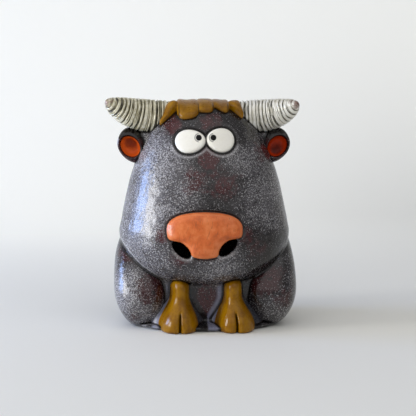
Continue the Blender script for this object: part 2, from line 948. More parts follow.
@dataclass(frozen=True)
class WhiteGlaze(Finish):
    """Cream-white glossy glaze with a thin grey ring round each pupil."""

    white: Colour = tone(238, 235, 225)
    cream: Colour = tone(230, 225, 212)
    grey: Colour = tone(120, 118, 116)
    edge: Colour = tone(70, 62, 62)

    def painted(self, paint: Paint) -> bpy.types.Material:
        """Paints the material."""
        clouds = paint.noise(4, 3)
        body = paint.blend(clouds.step(0.4, 0.8) * 0.5, self.white, self.cream)
        ringed = paint.blend(paint.mark("ring").step(0.2, 0.9) * 0.8, body, self.grey)
        colour = paint.blend(paint.mark("crease").step(0.3, 1.0) * 0.75, ringed, self.edge)
        gloss = {"Roughness": 0.24 + clouds * 0.08, "Specular IOR Level": 0.25, "Coat Weight": 0.2}
        return paint.finish({"Base Color": colour, **gloss}, clouds, 0.12)


@dataclass(frozen=True)
class OrangeGlaze(Finish):
    """Orange-red glaze that runs dark in the middle of the bowl."""

    orange: Colour = tone(212, 90, 28)
    deep: Colour = tone(110, 34, 8)

    def painted(self, paint: Paint) -> bpy.types.Material:
        """Paints the material."""
        clouds = paint.noise(2.4, 4, 0.6)
        pooled = (paint.mark("pool") + (clouds - 0.5) * 0.6).step(0.25, 0.85)
        colour = paint.blend(pooled * 0.9, self.orange, self.deep)
        coat = {"Specular IOR Level": 0.08, "Coat Weight": 0.08, "Coat Roughness": 0.08}
        values = {"Base Color": colour, "Roughness": 0.28 + clouds * 0.12, **coat}
        return paint.finish(values, clouds, 0.3)


@dataclass(frozen=True)
class BlackGlaze(Finish):
    """Glossy black glaze."""

    black: Colour = tone(6, 5, 5)
    worn: Colour = tone(18, 16, 16)

    def painted(self, paint: Paint) -> bpy.types.Material:
        """Paints the material."""
        clouds = paint.noise(0.8, 2)
        colour = paint.blend(clouds.step(0.4, 0.7), self.black, self.worn)
        gloss = {"Roughness": 0.35 + clouds * 0.1, "Specular IOR Level": 0.15}
        return paint.finish({"Base Color": colour, **gloss}, clouds, 0.03)


@dataclass(frozen=True)
class BareClay(Finish):
    """Unglazed clay with fine grog, browned by smoke towards the middle."""

    clay: Colour = tone(186, 140, 104)
    fleck: Colour = tone(150, 104, 74)
    smoked: Colour = tone(92, 62, 44)

    def painted(self, paint: Paint) -> bpy.types.Material:
        """Paints the material."""
        clouds = paint.noise(7, 4)
        grog = paint.noise(0.5, 3, 0.7)
        body = paint.blend(grog.step(0.45, 0.7) * 0.35, self.clay, self.fleck)
        smoke = (paint.mark("smoke") + (clouds - 0.5) * 0.8).step(0.2, 1.0)
        colour = paint.blend(smoke * 0.8, body, self.smoked)
        return paint.finish({"Base Color": colour, "Roughness": 0.72 + grog * 0.2}, grog, 0.12)


@dataclass(frozen=True)
class Incense(Finish):
    """Pressed incense powder with a charred tip and a little ash."""

    brown: Colour = tone(84, 58, 40)
    straw: Colour = tone(122, 88, 62)
    black: Colour = tone(22, 20, 19)
    ash: Colour = tone(176, 172, 166)

    def painted(self, paint: Paint) -> bpy.types.Material:
        """Paints the material."""
        grain = paint.noise(0.45, 4, 0.7)
        char = paint.mark("char")
        body = paint.blend(grain.step(0.35, 0.7), self.brown, self.straw)
        charred = paint.blend(char.step(0.2, 0.6), body, self.black)
        colour = paint.blend((char + grain * 0.3).step(0.95, 1.15), charred, self.ash)
        return paint.finish({"Base Color": colour, "Roughness": 0.9 + grain * 0.08}, grain, 0.2)


BODY_GLAZE = SpeckledGlaze("speckled body glaze", "speckled_glaze")
FLANK_GLAZE = SpeckledGlaze("speckled flank glaze", "maroon_glaze", maroon=tone(50, 11, 14))
OCHRE = OchreGlaze("ochre glaze", "ochre_glaze")
OLIVE_HORN = HornGlaze(
    "olive horn glaze", "silver_glaze", ridge=tone(216, 210, 184), warm=tone(172, 164, 130)
)
SILVER_HORN = HornGlaze(
    "silver horn glaze",
    "silver_glaze",
    ridge=tone(244, 242, 235),
    warm=tone(220, 216, 202),
    valley=tone(160, 156, 138),
    shine=0.3,
)
NOSE_CLAY = Terracotta("satin terracotta", "terracotta")
EYE_WHITE = WhiteGlaze("cream white glaze", "white_glaze")
EAR_GLAZES = {
    Side.LEFT: OrangeGlaze("orange ear glaze", "orange_glaze"),
    Side.RIGHT: OrangeGlaze(
        "red ear glaze", "orange_glaze", orange=tone(164, 46, 10), deep=tone(60, 10, 4)
    ),
}
PUPIL_BLACK = BlackGlaze("black pupil glaze", "black_glaze")
DISH_CLAY = BareClay("bare dish clay", "bare_clay")
CONE_POWDER = Incense("pressed incense", "incense")


@dataclass
class Piece:
    """A finished shape with its finish, its body and the plain solids that it stands for."""

    clay: Clay
    finish: Finish
    nodes: tuple[str, ...]
    body: Body = Body.FIGURE
    sharp: float = 50.0

    def deliver(self) -> None:
        """Dresses the piece and hands it to its body."""
        mesh = self.clay.softened(self.sharp).mesh
        mesh.materials.clear()
        mesh.materials.append(self.finish.material())
        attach(self.clay.object, self.body.value)
        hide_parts(*self.nodes)
        mesh.calc_loop_triangles()
        name, triangles = self.clay.object.name, len(mesh.loop_triangles)
        LOG.info("%s: %d triangles, on %s", name, triangles, self.body.value)


def skin_of(pieces: list[Piece]) -> BVHTree:
    """The joined skin of several pieces, for measuring distances in millimetres."""
    points: list[list[float]] = []
    faces: list[list[int]] = []
    for piece in pieces:
        start = len(points)
        points.extend(piece.clay.points().tolist())
        for face in piece.clay.mesh.polygons:
            faces.append([start + corner for corner in face.vertices])
    return BVHTree.FromPolygons(points, faces)


def pool_glaze(shell: Piece, reliefs: list[Piece], width: float = 1.1) -> None:
    """Marks the creases between the shell and its reliefs.

    Args:
        shell: The body that carries the reliefs.
        reliefs: Everything that is modelled on it.
        width: How far the dark glaze reaches out of a crease, in millimetres.
    """
    away = shell.clay.pooled(skin_of(reliefs), width)
    x, y, z = shell.clay.points().T
    jaw = smooth(-x, 16.0, 30.0) * smooth(z, 60.0, 55.0) * (y < 4)
    shell.clay.marked("pale", np.maximum(shell.clay.mark("pale"), bell(away, 1.7, 0.6) * jaw))
    around = skin_of([shell])
    for relief in reliefs:
        relief.clay.pooled(around, width * 0.55)


# Main forms of the figure


def chin_drift(height: Array) -> Array:
    """How far the chin juts forward below the head's widest level."""
    return -16.0 * (np.maximum(0.0, 50.0 - height) / 27.0) ** 2


def haunch_drift(height: Array) -> Array:
    """How far a haunch leans back above the knee."""
    share = np.clip((height - 12.0) / 43.0, 0.0, 1.0)
    return 7.5 * (1 - np.cos(math.pi * share))


HEAD = Egg(
    at=(0.0, 0.0, 50.0),
    left=45.5,
    right=45.5,
    front=41.0,
    back=39.5,
    up=66.8,
    down=27.0,
    over=Profile(4.0, 2.6, 0.3),
    under=Profile(2.3, 2.3),
    drift=chin_drift,
)
TORSO = Egg(
    at=(0.0, 0.0, 30.0),
    left=43.5,
    right=43.5,
    front=27.5,
    back=41.5,
    up=52.0,
    down=44.6,
    over=Profile(3.0, 3.0),
    under=Profile(2.5, 2.5),
)
FOOT = Egg(
    at=(0.0, 0.0, 1.8), left=42.0, right=42.0, front=35.5, back=36.5, up=1.8, down=3.6, plan=2.3
)
HAUNCHES = {
    side: Egg(
        at=(side.value * 33.0, -11.0, 22.0),
        left=side.pick((15.3, 14.0)),
        right=side.pick((14.0, 15.3)),
        front=21.0,
        back=27.0,
        up=33.0,
        down=20.0,
        over=Profile(2.4, 2.4),
        plan=2.5,
        drift=haunch_drift,
    )
    for side in Side
}
NOSTRILS = (Oval(-13.3, 43.1, 6.0, 3.1, -42.0), Oval(10.2, 44.1, 6.0, 3.1, 42.0))
EYES = {
    Side.LEFT: Oval(-8.4, 97.4, 7.7, 5.75, 6.0, 0.12),
    Side.RIGHT: Oval(7.0, 98.0, 7.1, 5.85, -6.0, -0.12),
}
PUPILS = {Side.LEFT: (-4.1, 99.2), Side.RIGHT: (3.3, 99.2)}
# The shell's thickness, and how deep the reliefs are bedded in it
WALL = 4.0
BEDDED = 1.6


def table_block() -> Shape:
    """A block whose flat top is the table."""
    square = ((-90, -90), (90, -90), (90, 90), (-90, 90))
    corners = [(x, y, z) for z in (-80.0, 0.0) for x, y in square]
    sides = [(i, (i + 1) % 4, (i + 1) % 4 + 4, i + 4) for i in range(4)]
    return Shape(np.array(corners), [(3, 2, 1, 0), (4, 5, 6, 7), *sides])


def inner_skins(inset: float, around: int, rings: int) -> list[Shape]:
    """The head's and the torso's forms, set in from their skins."""
    return [form.grown(-inset).shape(around, rings) for form in (HEAD, TORSO)]


def trimmed(clay: Clay) -> Clay:
    """Cuts away what would show inside the hollow body, leaving the piece bedded in the wall."""
    return clay.cut(*inner_skins(BEDDED, 96, 40))


# Parts of the burner


@dataclass(frozen=True)
class NosePad:
    """The terracotta shield with two bites for the nostrils."""

    middle: float = -1.5
    half_width: float = 19.2
    top: float = 62.0
    corner_drop: float = 3.2
    corner_pull: float = 12.5
    shoulder: float = 53.5
    jowl: float = 46.8
    jowl_inset: float = 2.5
    bottom: float = 38.7
    bottom_curve: float = 1.2
    lobe: float = 6.6
    thickness: float = 2.9
    softness: float = 5.6
    centre: tuple[float, float] = (-1.5, 52.0)
    farthest: float = 26.0

    def outline(self) -> Array:
        """The shield's outline in the front view, before the nostrils bite into it."""
        left, right = self.middle - self.half_width, self.middle + self.half_width
        pull, corner, inset = self.corner_pull, self.top - self.corner_drop, self.jowl_inset
        crown = (self.middle, self.top)
        shoulders = (left, self.shoulder), (right, self.shoulder)
        jowls = (left + inset, self.jowl), (right - inset, self.jowl)
        level = self.bottom + self.bottom_curve
        lobes = (self.middle - self.lobe, level), (self.middle + self.lobe, level)
        lowest = (self.middle, self.bottom - self.bottom_curve)
        sides = [
            bezier(shoulders[0], (left, corner), (self.middle - pull, self.top), crown),
            bezier(crown, (self.middle + pull, self.top), (right, corner), shoulders[1]),
            bezier(shoulders[1], (right, self.jowl + 1), jowls[1]),
            bezier(jowls[1], lobes[1]),
            bezier(lobes[1], lowest, lobes[0]),
            bezier(lobes[0], jowls[0]),
            bezier(jowls[0], (left, self.jowl + 1), shoulders[0]),
        ]
        return np.vstack(sides)

    def covers(self, flat: Array) -> Array:
        """Whether each point of the front view lies on the bitten shield."""
        outline = self.outline()
        inside = np.zeros(len(flat), dtype=bool)
        for (x0, z0), (x1, z1) in zip(outline, np.roll(outline, -1, axis=0)):
            straddles = (flat[:, 1] < z0) != (flat[:, 1] < z1)
            if z0 != z1:
                crossing = x0 + (flat[:, 1] - z0) * (x1 - x0) / (z1 - z0)
                inside ^= straddles & (flat[:, 0] < crossing)
        return inside & (nearest(NOSTRILS, flat) > 0.0)

    def reach(self, count: int = 288) -> Array:
        """How far the bitten outline lies from the centre, at even turns."""
        turns = full_turn(count)
        radii = np.linspace(0.0, self.farthest, 521)
        spokes = rows(np.cos(turns), np.sin(turns))
        flat = np.array(self.centre) + radii[None, :, None] * spokes[:, None, :]
        inside = self.covers(flat.reshape(-1, 2)).reshape(count, -1)
        leaves = np.where(inside.all(axis=1), inside.shape[1], np.argmin(inside, axis=1))
        reach = radii[np.minimum(leaves, len(radii) - 1)]
        kernel = np.exp(-0.5 * (np.arange(-8, 9) / 2.2) ** 2)
        wrapped = np.concatenate([reach[-8:], reach, reach[:8]])
        return np.convolve(wrapped, kernel / kernel.sum(), mode="valid")

    def distance(self, flat: Array) -> Array:
        """Roughly how far outside the bitten outline each point of the front view lies."""
        reach = self.reach()
        spokes = flat - np.array(self.centre)
        turns = np.mod(np.arctan2(spokes[:, 1], spokes[:, 0]), 2 * math.pi)
        even = np.linspace(0, 2 * math.pi, len(reach) + 1)
        limit = np.interp(turns, even, np.append(reach, reach[0]))
        return np.hypot(spokes[:, 0], spokes[:, 1]) - limit

    def build(self) -> list[Piece]:
        """Builds the pad."""
        edge = rounded_edge(self.thickness, self.softness)
        clay = Clay("nose_pad", laid_pad(HEAD, self.centre, self.reach(), edge, 1.2, 44))
        points = clay.points()
        moved = points.copy()
        moved[:, 1] -= 0.12 * wobble(points, 9.0, 3)
        clay.move_to(moved)
        inward = -self.distance(points[:, [0, 2]])
        clay.marked("rim", bell(inward, 1.0, 0.8))
        return [Piece(clay, NOSE_CLAY, ("muzzle_pad",), sharp=80.0)]


def both(*makers: Callable[[Side], Piece]) -> list[Piece]:
    """What each maker makes, left and right."""
    return [make(side) for side in Side for make in makers]


@dataclass(frozen=True)
class EyePair:
    """Two puffed eye discs that lean together, each with a pupil."""

    swell: float = 1.15
    edge: float = 1.6
    sunk: float = 1.4
    pupil_radius: float = 1.5
    pupil_height: float = 0.45

    def eye(self, side: Side) -> Piece:
        """Builds one eye."""
        oval = EYES[side]
        edge = rounded_edge(self.swell, self.edge)
        disc = laid_pad(HEAD, (oval.x, oval.z), oval.reach(160), edge, self.sunk, 26)
        clay = Clay(f"eye_{side.label}_white", disc)
        x, _, z = clay.points().T
        pupil_x, pupil_z = PUPILS[side]
        away = np.hypot(x - pupil_x, z - pupil_z)
        leftward = 0.6 - 0.4 * np.sign(x - pupil_x)
        clay.marked("ring", bell(away, 2.0, 0.36) * leftward)
        return Piece(clay, EYE_WHITE, (f"eye_{side.label}",), sharp=80.0)

    def pupil(self, side: Side) -> Piece:
        """Builds one pupil, a low drop of black glaze."""
        skin = HEAD.grown(self.swell)
        reach = np.full(48, self.pupil_radius)
        drop = laid_pad(skin, PUPILS[side], reach, rounded_edge(self.pupil_height, 1.1), 0.5, 10)
        clay = Clay(f"pupil_{side.label}_drop", drop)
        return Piece(clay, PUPIL_BLACK, (f"pupil_{side.label}",), sharp=80.0)

    def build(self) -> list[Piece]:
        """Builds both eyes and both pupils."""
        return both(self.eye, self.pupil)


@dataclass(frozen=True)
class HornSizes:
    """How far one horn reaches from the temple, its chance number and its glaze."""

    reach: float
    forward: float
    tip: float
    seed: float
    finish: HornGlaze


@dataclass(frozen=True)
class HornPair:
    """Two fat ringed horns, made along a path with their ridges as a rule."""

    radius: float = 9.2
    temple: float = 23.72
    inset: float = 9.0
    root_y: float = -1.5
    root_z: float = 109.3
    bend: float = 15.5
    bend_z: float = 108.3
    neck: float = 0.88
    neck_share: float = 0.3
    ridges: float = 17.0
    groove: float = 0.95
    narrowness: float = 2.2
    sway: float = 0.06
    spacing: float = 0.08
    steps: int = 300
    corners: int = 72
    sizes: tuple[HornSizes, HornSizes] = (
        HornSizes(27.85, 11.0, 118.05, 3.0, OLIVE_HORN),
        HornSizes(24.4, 14.0, 116.8, 8.0, SILVER_HORN),
    )

    def path(self, side: Side) -> list[Place]:
        """The root, the bend and the tip of one horn."""
        size = side.pick(self.sizes)
        return [
            (side.value * (self.temple - self.inset), self.root_y, self.root_z),
            (side.value * (self.temple + self.bend), self.root_y, self.bend_z),
            (side.value * (self.temple + size.reach), self.root_y - size.forward, size.tip),
        ]

    def plain(self, graph: Graph, size: dict[str, Term]) -> Term:
        """A round skin along the path, slimmer at the neck and closed at the tip."""
        ends = {"Start": size["Root"], "Middle": size["Bend"], "End": size["Tip"]}
        curve = graph.take("GeometryNodeCurveQuadraticBezier", None, {"Resolution": 64, **ends})
        steps = {"Curve": curve, "Count": self.steps}
        path = graph.take("GeometryNodeResampleCurve", None, steps)
        way = graph.take("GeometryNodeSplineParameter", output="Factor")
        necked = graph.math("MINIMUM", way / size["Neck Share"], 1.0)
        swell = graph.math("SINE", necked * (math.pi / 2))
        closing = (1 - graph.math("MINIMUM", way, 0.9995) ** 3.0) ** (1 / 1.6)
        width = size["Radius"] * (size["Neck"] + (1 - size["Neck"]) * swell) * closing
        ring = {"Resolution": self.corners, "Radius": 1.0}
        hoop = graph.take("GeometryNodeCurvePrimitiveCircle", {"mode": "RADIUS"}, ring)
        sweep = {"Curve": graph.stored(path, "way", way), "Profile Curve": hoop}
        sweep |= {"Scale": width, "Fill Caps": True}
        return graph.take("GeometryNodeCurveToMesh", None, sweep)

    def carved(self, graph: Graph, size: dict[str, Term], skin: Term) -> Term:
        """The skin with its grooves, whose strength is stored for the glaze."""
        stored = {"data_type": "FLOAT"}
        along = graph.take("GeometryNodeInputNamedAttribute", stored, {"Name": "way"})
        seed = size["Seed"]
        sway = graph.clouds("4D", {"W": seed, "Scale": 130.0, "Detail": 1.0, "Roughness": 0.5})
        spacing = graph.clouds("1D", {"W": along * 9.0 + seed})
        uneven = along + (sway - 0.5) * self.sway + (spacing - 0.5) * self.spacing
        phase = uneven * size["Ridges"] * (2 * math.pi)
        wave = graph.math("COSINE", phase) * 0.5 + 0.5
        deep = graph.clouds("4D", {"W": seed + 20.0, "Scale": 260.0, "Detail": 1.0})
        groove = wave**self.narrowness * (0.4 + deep * 1.1)
        depth = -1 * groove * size["Groove Depth"] * (1 - along**6.0)
        push = graph.scaled(graph.take("GeometryNodeInputNormal"), depth)
        moved = graph.take("GeometryNodeSetPosition", None, {"Geometry": skin, "Offset": push})
        return graph.stored(moved, "groove", groove)

    def tree(self) -> bpy.types.NodeTree:
        """The rule that draws a ridged horn along its path.

        Returns:
            The geometry tree, with its sizes as named inputs.
        """
        tree = bpy.data.node_groups.new("ridged horn", "GeometryNodeTree")
        graph = Graph(tree)
        tree.interface.new_socket("Geometry", in_out="OUTPUT", socket_type="NodeSocketGeometry")
        kinds = {
            "Vector": ("Root", "Bend", "Tip"),
            "Float": ("Radius", "Neck", "Neck Share", "Ridges", "Groove Depth", "Seed"),
            "Material": ("Glaze",),
        }
        for kind, names in kinds.items():
            for name in names:
                tree.interface.new_socket(name, in_out="INPUT", socket_type=f"NodeSocket{kind}")
        given = graph.node("NodeGroupInput")
        size = {socket.name: Term(graph, socket) for socket in given.outputs if socket.name}
        horn = self.carved(graph, size, self.plain(graph, size))
        whole = graph.take("GeometryNodeRealizeInstances", None, {"Geometry": horn})
        glaze = {"Geometry": whole, "Material": size["Glaze"]}
        glazed = graph.take("GeometryNodeSetMaterial", None, glaze)
        graph.node("NodeGroupOutput", None, {"Geometry": glazed})
        return tree

    def horn(self, side: Side, tree: bpy.types.NodeTree) -> Piece:
        """Builds one horn.

        Args:
            side: Which horn.
            tree: The rule that draws it.

        Returns:
            The horn.
        """
        size = side.pick(self.sizes)
        clay = Clay(f"horn_{side.label}_ringed", HEAD.shape(8, 2))
        root, bend, tip = (tuple((np.array(place) + AXIS) * MM) for place in self.path(side))
        inputs = {
            "Root": root,
            "Bend": bend,
            "Tip": tip,
            "Radius": self.radius * MM,
            "Neck": self.neck,
            "Neck Share": self.neck_share,
            "Ridges": self.ridges,
            "Groove Depth": self.groove * MM,
            "Seed": size.seed,
            "Glaze": size.finish.material(),
        }
        modifier = clay.object.modifiers.new("Horn", "NODES")
        modifier.node_group = tree
        for item in tree.interface.items_tree:
            if item.in_out == "INPUT":
                modifier[item.identifier] = inputs[item.name]
        clay.baked().closed(gap=1e-6)
        clay.cut(HEAD.grown(-BEDDED).shape(96, 40))
        tip = np.array(self.path(side)[2])
        clay.marked("tip", smooth(np.linalg.norm(clay.points() - tip, axis=1), 11.0, 2.0))
        return Piece(clay, size.finish, (f"horn_{side.label}",), sharp=60.0)

    def build(self) -> list[Piece]:
        """Builds both horns."""
        tree = self.tree()
        return [self.horn(side, tree) for side in Side]


@dataclass(frozen=True)
class EarPair:
    """Two cupped ears with a glazed bowl."""

    level: float = 93.5
    y: float = -3.0
    half_width: float = 7.6
    up: float = 10.5
    down: float = 8.5
    depth: float = 7.0
    tilt: float = 0.2
    bowl_half_width: float = 5.3
    bowl_half_height: float = 5.7
    bowl_shift: float = 1.9
    bowl_rise: float = 0.5
    places: tuple[float, float] = (-37.34, 36.44)
    shades: tuple[tuple[float, float], tuple[float, float]] = ((-0.1, 1.0), (0.5, -0.8))
    outside: tuple[Place, ...] = (
        (0.3, 0.0, 6.9),
        (0.62, 0.0, 5.9),
        (0.86, 0.0, 3.8),
        (0.99, 0.0, 1.2),
        (1.0, 0.0, -1.2),
        (0.72, 0.36, -3.6),
        (0.3, 0.84, -5.1),
        (0.0, 1.17, -5.9),
        (0.0, 1.09, -6.1),
        (0.0, 1.02, -5.8),
    )
    inside: tuple[Place, ...] = (
        (0.0, 0.95, -4.8),
        (0.0, 0.85, -3.6),
        (0.0, 0.64, -2.5),
        (0.0, 0.34, -1.9),
        (0.0, 0.14, -1.7),
    )

    def loops(self, side: Side, profile: Array, count: int = 88) -> Array:
        """Places of the ear's loops.

        Args:
            side: Which ear.
            profile: Shares of the ear's and of the bowl's outline and a depth, by loop.
            count: How many corners each loop has.

        Returns:
            The places by loop, corner and axis.
        """
        turns = full_turn(count)
        tall = np.where(np.sin(turns) < 0, self.down, self.up)
        made = []
        for ear, bowl, y in profile:
            settled = min(bowl, 1.0)
            half_height = ear * tall + bowl * self.bowl_half_height
            half_width = ear * self.half_width + bowl * self.bowl_half_width
            height = np.sin(turns) * half_height + settled * self.bowl_rise
            lean = side.value * (self.tilt * height + self.bowl_shift * settled)
            x = side.pick(self.places) + np.cos(turns) * half_width + lean
            made.append(rows(x, self.y + y, self.level + height))
        return np.array(made)

    def cup(self, side: Side) -> Piece:
        """Builds the ear's outer cup."""
        loops = self.loops(side, eased([*self.outside, *self.inside], 66))
        centre = loops.mean(axis=1)
        back = centre[0] + np.array([0.0, 0.35, 0.0])
        clay = trimmed(Clay(f"ear_{side.label}_cup", stacked(loops, back, centre[-1])))
        points = clay.points()
        clay.marked("maroon", 0.85 + 0.3 * wobble(points, 14.0, 5))
        clay.marked("speckle", np.full(len(points), -0.7))
        clay.marked("crease", smooth(points[:, 2], self.level + 2.0, self.level + 7.0) * 0.9)
        return Piece(clay, FLANK_GLAZE, (f"ear_{side.label}",))

    def bowl(self, side: Side) -> Piece:
        """Builds the glaze that lines the bowl."""
        front = eased(list(self.inside), 26)
        face = front + np.array([-0.012, -0.012, -0.3]) * [[0.0, 1.0, 1.0]]
        under = front[::-1] + np.array([[0.0, -0.02, 0.5]])
        loops = self.loops(side, np.vstack([under, face]))
        centre = loops.mean(axis=1)
        clay = trimmed(Clay(f"ear_{side.label}_bowl", stacked(loops, centre[0], centre[-1])))
        x, y, z = clay.points().T
        middle = side.pick(self.places) + side.value * self.bowl_shift
        across, up = side.pick(self.shades)
        shade = (x - middle) * across + (z - self.level - self.bowl_rise) * up
        clay.marked("pool", smooth(y - self.y, -4.2, -1.8) * 0.7 + shade * 0.1)
        return Piece(clay, EAR_GLAZES[side], (f"ear_lining_{side.label}",))

    def build(self) -> list[Piece]:
        """Builds both ears and their bowls."""
        return both(self.cup, self.bowl)


@dataclass(frozen=True)
class Lock:
    """One lock: its edges, its tip, how blunt the tip is and where it starts at the back."""

    left: float
    right: float
    tip_x: float
    tip_z: float
    bluntness: float
    back: float


@dataclass(frozen=True)
class Forelock:
    """Five glossy locks that grow from one fringe over the crown."""

    thickness: float = 2.3
    sunk: float = 0.9
    eaves: float = 8.0
    overlap: float = 0.75
    tip_round: float = 2.2
    back_round: float = 2.0
    lift: float = 3.6
    grain: float = 0.36
    ceiling: float = 119.5
    origin: tuple[float, float] = (-2.0, 88.0)
    locks: tuple[Lock, ...] = (
        Lock(-19.8, -13.7, -23.2, 106.9, 1.5, -6.0),
        Lock(-13.9, -3.7, -8.9, 108.2, 2.4, 3.0),
        Lock(-3.7, 3.9, -0.1, 111.5, 3.4, 3.0),
        Lock(3.9, 11.7, 9.9, 111.7, 1.9, 3.0),
        Lock(11.6, 17.6, 18.9, 109.4, 1.5, -6.0),
    )

    def skin(self, x: Array, lean: Array) -> tuple[Array, Array]:
        """Places and normals on the crown at a lean from upright towards the face.

        Args:
            x: Places across the head.
            lean: The lean of the ray that finds each place, from the middle of the head.

        Returns:
            The places and their normals.
        """
        return HEAD.hit(rows(x, *self.origin), rows(0.0, -np.sin(lean), np.cos(lean)))

    def tongue(self, lock: Lock) -> Shape:
        """One lock.

        Args:
            lock: Its sizes.

        Returns:
            The closed tongue, which overlaps its neighbours.
        """
        middle = (lock.left + lock.right) / 2
        half = (lock.right - lock.left) / 2 + self.overlap
        leans = np.radians(np.linspace(-25, 80, 421))
        line, _ = self.skin(np.full(len(leans), (middle + lock.tip_x) / 2), leans)
        first = int(np.argmax(line[:, 1] < lock.back))
        last = len(leans) - 1 - int(np.argmax(line[::-1, 2] > lock.tip_z))
        steps = np.linalg.norm(np.diff(line[first : last + 1], axis=0), axis=1)
        travelled = np.concatenate([[0.0], np.cumsum(steps)])
        length = travelled[-1]
        shares = (1 - np.cos(np.linspace(0.06, math.pi - 0.03, 60))) / 2
        across = np.sin(np.linspace(-math.pi / 2, math.pi / 2, 25))
        loops = []
        for share in shares:
            lean = np.interp(share * length, travelled, leans[first : last + 1])
            to_tip = (1 - share) * length
            from_back = share * length
            near = min(1.0, to_tip / self.eaves)
            width = half * (1 - (1 - near) ** lock.bluntness) ** (1 / lock.bluntness)
            width *= min(1.0, from_back / 1.5) ** 0.5
            centre = middle + (lock.tip_x - middle) * (1 - near) ** 1.5
            x = centre + across * width
            places, normals = self.skin(x, np.full(len(x), lean))
            ending = round_end(to_tip, self.tip_round) * round_end(from_back, self.back_round)
            crown = (1 - np.abs(across) ** 5.0) ** (1 / 2.1) * ending
            lift = self.lift * smooth(np.abs(x), 8.0, 18.0) * smooth(places[:, 2], 107.0, 113.0)
            high = places + normals * (self.thickness * crown)[:, None]
            high[:, 2] = np.minimum(high[:, 2] + lift * (0.25 + 0.75 * crown), self.ceiling)
            low = places - normals * self.sunk
            loops.append(np.vstack([high, low[::-1]]))
        return stacked(np.array(loops), loops[0].mean(axis=0), loops[-1].mean(axis=0))

    def build(self) -> list[Piece]:
        """Builds the locks as one fringe."""
        clay = Clay("forelock_fringe", self.tongue(self.locks[0]))
        clay.with_parts(*[self.tongue(lock) for lock in self.locks[1:]])
        clay.remeshed(self.grain, 3)
        x, _, z = clay.points().T
        borders = [(lock.right + after.left) / 2 for lock, after in zip(self.locks, self.locks[1:])]
        beside = np.min([np.abs(x - border) for border in borders], axis=0)
        lowered = smooth(z, self.ceiling - 1.2, self.ceiling - 4.0)
        clay.marked("crease", bell(beside, 0.0, 0.4) * lowered * 0.8)
        nodes = tuple(f"forelock_{number}" for number in range(1, len(self.locks) + 1))
        return [Piece(clay, OCHRE, nodes, sharp=80.0)]


